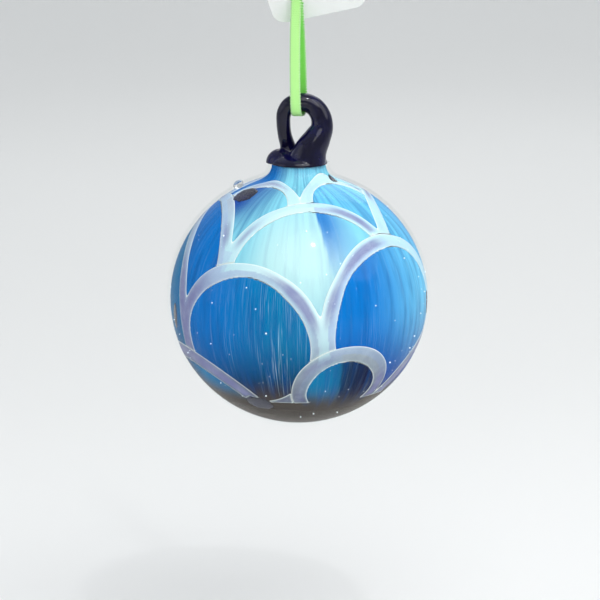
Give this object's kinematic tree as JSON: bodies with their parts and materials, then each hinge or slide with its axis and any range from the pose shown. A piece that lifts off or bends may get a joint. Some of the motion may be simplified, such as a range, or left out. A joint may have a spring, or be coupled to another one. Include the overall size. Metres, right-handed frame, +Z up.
{
  "type": "glass ball ornament",
  "caption": "Hand-blown glass ball with a trailed web under a clear casing, a looped glass hook, a knotted ribbon loop and a blank card tag.",
  "frame": {"origin": "top of the ribbon loop, under its knot, where a peg or twig carries it", "axes": "+Z up along the hanging line, +X to the right of the ball's front, -Y out of its front"},
  "size_m": [0.08, 0.08, 0.1915],
  "materials": {
    "blue_glass": "blown glass, cobalt to turquoise, fading clear at the bottom",
    "clear_glass": "clear fire-polished glass",
    "white_trail": "milky white glass trail with mauve core",
    "cobalt_glass": "near-black cobalt glass, glossy",
    "ribbon_weave": "lime green woven ribbon with a scalloped selvedge",
    "white_card": "plain white card, matt"
  },
  "bodies": {
    "knot": {"ribbon_knot": "ribbon_weave"},
    "ribbon": {"ribbon": "ribbon_weave"},
    "tag": {"tag": "white_card"},
    "ball": {"colour_bubble": "blue_glass", "clear_casing": "clear_glass", "web_row_1": "white_trail", "web_row_2": "white_trail", "web_row_3": "white_trail", "web_row_4": "white_trail", "cobalt_spots": "cobalt_glass", "clear_drip": "clear_glass", "hook": "cobalt_glass"}
  },
  "joints": [
    {"name": "ribbon_twist", "type": "hinge", "parent": "knot", "child": "ribbon", "pos_m": [0, 0, 0], "axis": [0, 0, 1], "range_deg": [-180, 180], "stiffness_Nm_per_rad": 0.0004},
    {"name": "ball_swing", "type": "hinge", "parent": "ribbon", "child": "ball", "pos_m": [0, 0, -0.075], "axis": [1, 0, 0], "range_deg": [-45, 45]},
    {"name": "tag_turn", "type": "hinge", "parent": "ribbon", "child": "tag", "pos_m": [0, 0, -0.043], "axis": [0, -0.866, -0.5], "range_deg": [-100, 160]}
  ]
}
